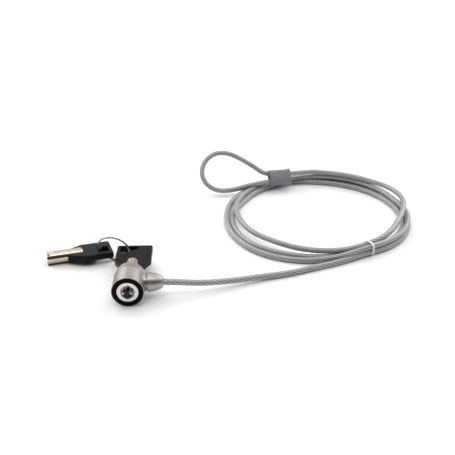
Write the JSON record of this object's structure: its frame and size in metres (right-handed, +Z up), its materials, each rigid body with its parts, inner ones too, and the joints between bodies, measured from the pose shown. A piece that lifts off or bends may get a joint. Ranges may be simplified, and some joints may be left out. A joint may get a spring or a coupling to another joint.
{
  "type": "laptop cable lock",
  "caption": "Round lock head with a T-bar for a laptop's security slot, tubular keys on a ring, and a coiled steel cable that ends in a crimped eye.",
  "frame": {"origin": "Centre of the rubber-faced end of the lock head that meets the laptop.", "axes": "+Y runs along the lock's axis towards the key, +X towards the cable, +Z up; the lock lies on its side and the surface it lies on is at z = -0.011."},
  "size_m": [0.2919, 0.2145, 0.0344],
  "materials": {
    "cable_jacket": "clear glossy jacket over bright stranded steel wire",
    "tie_band": "thin clear plastic band",
    "ferrule_plastic": "matte grey sleeve, slightly purple",
    "crimp_brass": "dull pressed brass",
    "bright_chrome": "bright chrome plate with a soft polish",
    "plain_steel": "bright turned steel",
    "dark_steel": "dark hardened steel",
    "spring_steel": "drawn spring wire",
    "lock_brass": "turned brass",
    "black_rubber": "soft matte black rubber",
    "key_nickel": "warm nickel plate with fine turning marks",
    "bow_plastic": "moulded black plastic with a fine grain"
  },
  "bodies": {
    "cable": {"cable_lead": "cable_jacket", "cable_coil": "cable_jacket", "cable_eye": "cable_jacket", "coil_tie": "tie_band", "ferrule_cover": "ferrule_plastic", "crimp_sleeve": "crimp_brass", "anchor_cone": "bright_chrome", "cable_stop": "crimp_brass", "swivel_stud": "plain_steel", "swivel_washer": "plain_steel"},
    "lock_body": {"housing": "bright_chrome", "rubber_ring": "black_rubber", "face_plate": "plain_steel", "barrel": "lock_brass", "face_bush": "lock_brass", "pin_block": "lock_brass", "block_pin": "plain_steel", "driver_pins": "plain_steel", "pin_springs": "spring_steel", "guide_pins": "plain_steel"},
    "rotor": {"rotor": "lock_brass", "key_pins": "plain_steel", "t_bar": "dark_steel"},
    "key_1": {"key_1_tube": "key_nickel", "key_1_bow": "bow_plastic"},
    "key_ring": {"key_ring": "plain_steel"},
    "key_2": {"key_2_tube": "key_nickel", "key_2_bow": "bow_plastic"}
  },
  "joints": [
    {"name": "anchor_swivel", "type": "hinge", "parent": "cable", "child": "lock_body", "pos_m": [0.0119, 0.0132, 0], "axis": [1, 0, 0], "continuous": true},
    {"name": "key_turn", "type": "hinge", "parent": "lock_body", "child": "rotor", "pos_m": [0, 0.0115, 0], "axis": [0, 1, 0], "range_deg": [0, 90]},
    {"name": "key_withdraw", "type": "slide", "parent": "rotor", "child": "key_1", "axis": [0, 1, 0], "range_m": [0, 0.03]},
    {"name": "ring_swing", "type": "hinge", "parent": "key_1", "child": "key_ring", "pos_m": [-0.0044, 0.05789, 0.00013], "axis": [-0.028, 0.3221, -0.9463], "range_deg": [-40, 30]},
    {"name": "key_2_swing", "type": "hinge", "parent": "key_ring", "child": "key_2", "pos_m": [-0.02509, 0.0631, -0.00556], "axis": [-0.6208, -0.1589, 0.7677], "range_deg": [-50, 0]}
  ]
}
